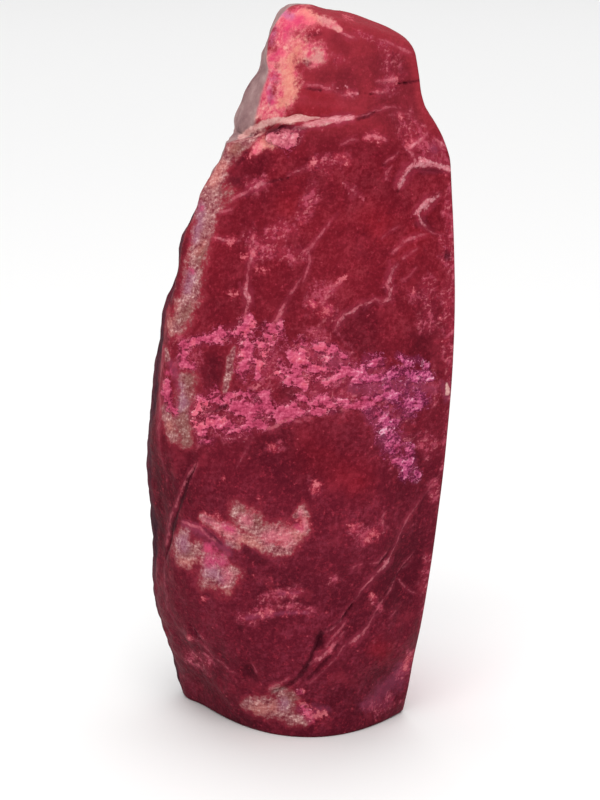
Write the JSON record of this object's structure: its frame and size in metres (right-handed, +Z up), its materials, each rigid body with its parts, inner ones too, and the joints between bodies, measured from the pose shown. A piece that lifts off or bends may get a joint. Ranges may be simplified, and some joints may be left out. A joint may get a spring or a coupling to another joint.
{
  "type": "dyed agate geode",
  "caption": "Upright piece of dyed agate nodule with one broad crimson face, a stepped head, a sawn side and a flat foot.",
  "frame": {"origin": "middle of the bounding box in the plane of the flat foot", "axes": "+Z up from the foot to the head; -Y out of the broad face; +X towards the sawn side"},
  "size_m": [0.0612, 0.0658, 0.1463],
  "materials": {
    "dyed_agate": "satin"
  },
  "bodies": {
    "root": {"agate_geode": "dyed_agate"}
  },
  "joints": []
}
